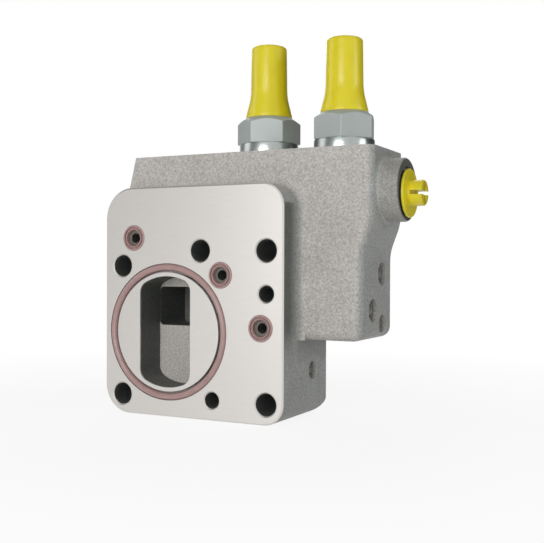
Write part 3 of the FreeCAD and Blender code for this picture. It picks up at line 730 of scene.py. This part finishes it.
# %% Make the adjusting screws
SCREW_FOOT, KEY_WIDTH, THREADED, SCREW_PITCH = 79.9, 4.0, 30.0, 1.25
core_outline = [(0, 0), (3.0, 0), (3.36, 0.5), (3.36, 31.6), (3.0, 32.1), (0, 32.1)]
for side, x in SIDES.items():
    stud = turn_outline(side + "_threaded_stud", core_outline, 48)
    clear_hand()
    bpy.ops.mesh.primitive_cylinder_add(
        vertices=6, radius=KEY_WIDTH / math.sqrt(3) * MM, depth=5.2 * MM, location=(0, 0, 29.7 * MM)
    )
    carve(stud, bpy.context.object)
    ridge = wind("ridge", 3, 0.52, 3.48, THREADED, THREADED / SCREW_PITCH, 24)
    seat(ridge, (0, 0, 1.0))
    join(stud, ridge)
    seat(stud, (x, BORE_Y, SCREW_FOOT))
    dress(stud, side + "_adjusting_screw")

# %% [markdown]
# ## Plug of the signal port
# A moulded screw plug keeps dirt out of the port until a hose is fitted. It is a flange that stands on a
# seal ring, a threaded stem inside the port, and a round grip with a cross of two slots. The grip's slots
# are cut with two bars, and the thread of 1.5 mm pitch is wound on the stem, where it shows when the plug
# is screwed out.

# %% Make the port plug
plug_outline = [
    (0, 0), (3.0, 0), (3.0, -9.0), (5.9, -9.0), (6.35, -8.4), (6.35, -0.5), (7.0, -0.3), (7.0, 0),
    (9.55, 0), (9.7, 0.15), (9.7, 0.8), (9.5, 1.0), (5.35, 1.0), (5.15, 1.2), (5.15, 6.3), (4.75, 6.7),
    (2.4, 6.7), (2.3, 6.5), (0, 6.5),
]
GRIP_TOP, STEM_THREAD, PLUG_PITCH = 6.7, 7.5, 1.5
port_plug = turn_outline("port_plug_moulded", plug_outline, 128)
for size in ((12, 1.6, 9.2), (1.6, 12, 9.2)):
    clear_hand()
    bpy.ops.mesh.primitive_cube_add(size=MM, location=(0, 0, GRIP_TOP * MM))
    bar = bpy.context.object
    bpy.ops.transform.resize(value=size)
    bpy.ops.object.transform_apply(location=True, rotation=True, scale=True)
    carve(port_plug, bar)
plug_thread = wind("plug_thread", 3, 0.62, 6.52, STEM_THREAD, STEM_THREAD / PLUG_PITCH, 32)
seat(plug_thread, (0, 0, -8.3))
join(port_plug, plug_thread)
seat(port_plug, (93.38, BORE_Y, SIGNAL_PORT_Z), "X")
dress(port_plug, "guard_plug", angle=40)

# %% [markdown]
# ## Expander plugs
# Each cross drilling is closed by a soft steel cup that a hard ball spreads. From outside one sees the
# cup's ring with the ball in it, 1.6 mm below the surface. The cup is a turned outline, and the ball is
# pressed a little flat by the punch that sets it, so its front is cut away by a tenth of a millimetre.
# Bisect takes points within its threshold for points on the plane. Left alone, the threshold is as large
# as this cut, so a smaller one is given. The table holds the middle of each drilling's mouth, the way
# that the drilling runs in from there, and its width.

# %% Press in the five expander plugs
MOUTHS = [
    ((80.0, 38.0, 24.3), "-X", 9.5), ((80.0, 27.5, 9.7), "-X", 9.5), ((80.0, 38.4, 3.9), "-X", 7.5),
    ((53.5, 27.9, -15.5), "-X", 7.5), ((-31.0, 31.0, 41.6), "X", 7.5),
]
SUNK, FLATTENED, FLOOR, NEAR_PLANE = 1.6, 0.1, 0.8, 0.001 * MM
cups, balls = [], []
for place, way, width in MOUTHS:
    depth, inner, outer = 0.6 * width, 0.3 * width, 0.5 * width - 0.02
    cup = turn_outline("cup", [
        (0, depth - FLOOR), (inner - 0.3, depth - FLOOR), (inner, depth - 1.1), (inner, 0.25),
        (inner + 0.25, 0), (outer - 0.2, 0), (outer, 0.2), (outer, depth - 0.3), (outer - 0.3, depth),
        (0, depth),
    ], 48)
    seat(cup, (0, 0, SUNK))
    seat(cup, place, way)
    cups.append(cup)
    clear_hand()
    radius = inner - 0.02
    bpy.ops.mesh.primitive_uv_sphere_add(segments=40, ring_count=24, radius=radius * MM)
    ball = bpy.context.object
    open_all(ball)
    bpy.ops.mesh.bisect(plane_co=(0, 0, (FLATTENED - radius) * MM), plane_no=(0, 0, -1), use_fill=True,
                        clear_outer=True, threshold=NEAR_PLANE)
    bpy.ops.object.mode_set(mode="OBJECT")
    seat(ball, (0, 0, SUNK + depth - FLOOR - 0.02 - radius))
    seat(ball, place, way)
    balls.append(ball)
for kind, group in (("cups", cups), ("balls", balls)):
    group[0].name = "pressed_" + kind
    join(*group)
    dress(group[0], "expander_" + kind)

# %% [markdown]
# ## Springs
# A compression spring is wire wound at a steady climb. A circle of fourteen points is wound by the Screw
# modifier, and the two ends are ground flat, so a bisect cuts them level with the seats. The
# table holds each spring's node, adjuster, outer width, wire and turns.

# %% Wind the springs
COILS = [
    ("cutoff_outer_spring", "cutoff", 13.2, 2.5, 5.5), ("cutoff_inner_spring", "cutoff", 7.4, 1.0, 6.5),
    ("sensing_spring", "sensing", 13.2, 1.9, 5.5),
]
for node, side, width, wire, turns in COILS:
    low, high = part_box(node)
    foot, length = low.z / MM, (high.z - low.z) / MM
    coil = wind(node + "_wound", 14, wire / 2, (width - wire) / 2, length - wire * 0.7, turns, 36)
    seat(coil, (SIDES[side], BORE_Y, foot + wire * 0.35))
    open_all(coil)
    for level, way in ((low.z, -1), (high.z, 1)):
        bpy.ops.mesh.select_all(action="SELECT")
        bpy.ops.mesh.bisect(plane_co=(0, 0, level), plane_no=(0, 0, way), use_fill=True,
                            clear_outer=True, threshold=NEAR_PLANE)
    bpy.ops.object.mode_set(mode="OBJECT")
    dress(coil, node, angle=50)
    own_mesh(coil)

# %% [markdown]
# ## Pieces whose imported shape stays
# The spools, seats, plungers, lock nuts, bore plugs and the orifice are plain turned or hexagonal pieces
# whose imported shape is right. They keep it and get their finishes.

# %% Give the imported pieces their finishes
kept = 0
for node, piece in valve_nodes.items():
    piece.data.materials.clear()
    piece.data.materials.append(finishes[slot_of_node[node]])
    kept += not piece.hide_render
print("packed pieces still shown", kept)

# %% [markdown]
# ## Floor
# The valve stands on a plain pale floor. Near the valve the floor takes its shadow, and further out it
# turns into the same white as the surround, so no edge shows behind it. That white is only for the eye
# and for reflections and adds no light. The Light Path node, which knows what kind of ray arrives, makes
# the difference. The floor's sizes are in metres.


# %% Lay the floor
def seen_by(finish, kinds):
    rays = add_node(finish, "ShaderNodeLightPath").outputs
    share = 0.0
    for kind in kinds:
        share = compute(finish, "MAXIMUM", share, rays[kind])
    return share


EYE = ("Is Camera Ray", "Is Transmission Ray")
EYE_AND_GLOSS = EYE + ("Is Glossy Ray",)
clear_hand()
bpy.ops.mesh.primitive_plane_add(size=6.0, location=(0.02, 0.02, cad_low.z))
floor = bpy.context.object
floor.name = "pale_floor"
paper = new_finish("floor_paper_matt_white")
floor_spot = add_node(paper, "ShaderNodeTexCoord").outputs["Object"]
reach = compute(paper, "LENGTH", floor_spot, kind="ShaderNodeVectorMath")
fade = spread(paper, reach, 0.09, 0.30, 0.88, 1.0)
paper_skin = result(add_node(paper, "ShaderNodeBsdfDiffuse", inputs={"Color": linear("#F4F4F3")}))
paper_white = result(add_node(paper, "ShaderNodeEmission", inputs={"Color": linear("#FFFFFF")}))
white_share = compute(paper, "MULTIPLY", fade, seen_by(paper, EYE_AND_GLOSS))
paper_mix = add_node(paper, "ShaderNodeMixShader", inputs={"Fac": white_share})
feed(paper, paper_mix.inputs[1], paper_skin)
feed(paper, paper_mix.inputs[2], paper_white)
add_node(paper, "ShaderNodeOutputMaterial", inputs={"Surface": result(paper_mix)})
floor.data.materials.append(paper)
print("floor at", round(cad_low.z / MM, 2), "mm")

# %% [markdown]
# ## White surround
# All round the valve there is white. To the eye and through holes it is plain white. Reflections and the
# fill light also meet two dim walls in it, as in a studio: a nearly black one behind the valve on its
# right, which makes the zinc's right-hand facets dark, and a weaker one on its left. As a light, the
# surround has only a third of its strength, because the lamps do the lighting. A direction is given by
# its azimuth, which is 0 in front of the mounting face and 90 on the right, and by its elevation, both in
# degrees.


# %% Set the white surround with its two dim walls
def direction(azimuth, elevation):
    a, e = math.radians(azimuth), math.radians(elevation)
    return Vector((math.sin(a) * math.cos(e), -math.cos(a) * math.cos(e), math.sin(e)))


SURROUND_LIGHT = 0.32
DIM_WALLS = ((135, 8, 0.06), (-73, 26, 0.3))
surround = bpy.data.worlds.new("white_surround")
bpy.context.scene.world = surround
surround.use_nodes = True
surround.node_tree.nodes.clear()
way_out = add_node(surround, "ShaderNodeTexCoord").outputs["Generated"]
dimmed = 1.0
for azimuth, elevation, brightness in DIM_WALLS:
    toward_wall = direction(azimuth, elevation)
    nearness = compute(surround, "DOT_PRODUCT", way_out, toward_wall, kind="ShaderNodeVectorMath")
    wall = spread(surround, nearness, 0.45, 0.85, 1.0, brightness, "SMOOTHSTEP")
    dimmed = compute(surround, "MINIMUM", dimmed, wall)
dimmed = compute(surround, "MAXIMUM", dimmed, seen_by(surround, EYE))
shown = seen_by(surround, EYE_AND_GLOSS)
strength = compute(surround, "MULTIPLY", spread(surround, shown, 0.0, 1.0, SURROUND_LIGHT, 1.0), dimmed)
white_light = {"Color": linear("#FFFFFF"), "Strength": strength}
sky = result(add_node(surround, "ShaderNodeBackground", inputs=white_light))
add_node(surround, "ShaderNodeOutputWorld", inputs={"Surface": sky})
print("surround lights at", SURROUND_LIGHT, "with", len(DIM_WALLS), "dim walls")

# %% [markdown]
# ## Lamps
# The shapes in the photograph are read from four soft lamps: a key nearly in front of the valve and a
# little above, weaker ones from the left and the right that fill the side faces, and one from behind that
# lights the rear edges. Each is a square panel that looks at the middle of the valve. The table gives
# azimuth and elevation in degrees, distance and width in metres, and watts.

# %% Hang the soft lamps
VALVE_MIDDLE = Vector((0.03, 0.025, 0.02))
LAMPS = (
    ("key_softbox", 4, 8, 0.75, 0.36, 2.7),
    ("left_card", -70, 20, 0.8, 0.4, 0.7),
    ("rear_left_softbox", -150, 35, 0.7, 0.35, 0.9),
    ("right_softbox", 96, 14, 0.8, 0.3, 1.15),
)
for name, azimuth, elevation, distance, size, watts in LAMPS:
    lamp_data = bpy.data.lights.new(name, "AREA")
    lamp_data.shape = "SQUARE"
    lamp_data.size = size
    lamp_data.energy = watts
    lamp = bpy.data.objects.new(name, lamp_data)
    bpy.context.scene.collection.objects.link(lamp)
    way = direction(azimuth, elevation)
    lamp.location = VALVE_MIDDLE + way * distance
    lamp.rotation_mode = "QUATERNION"
    lamp.rotation_quaternion = (-way).to_track_quat("-Z", "Y")
bpy.context.scene.view_settings.view_transform = "Standard"
print("lamps", len(LAMPS))
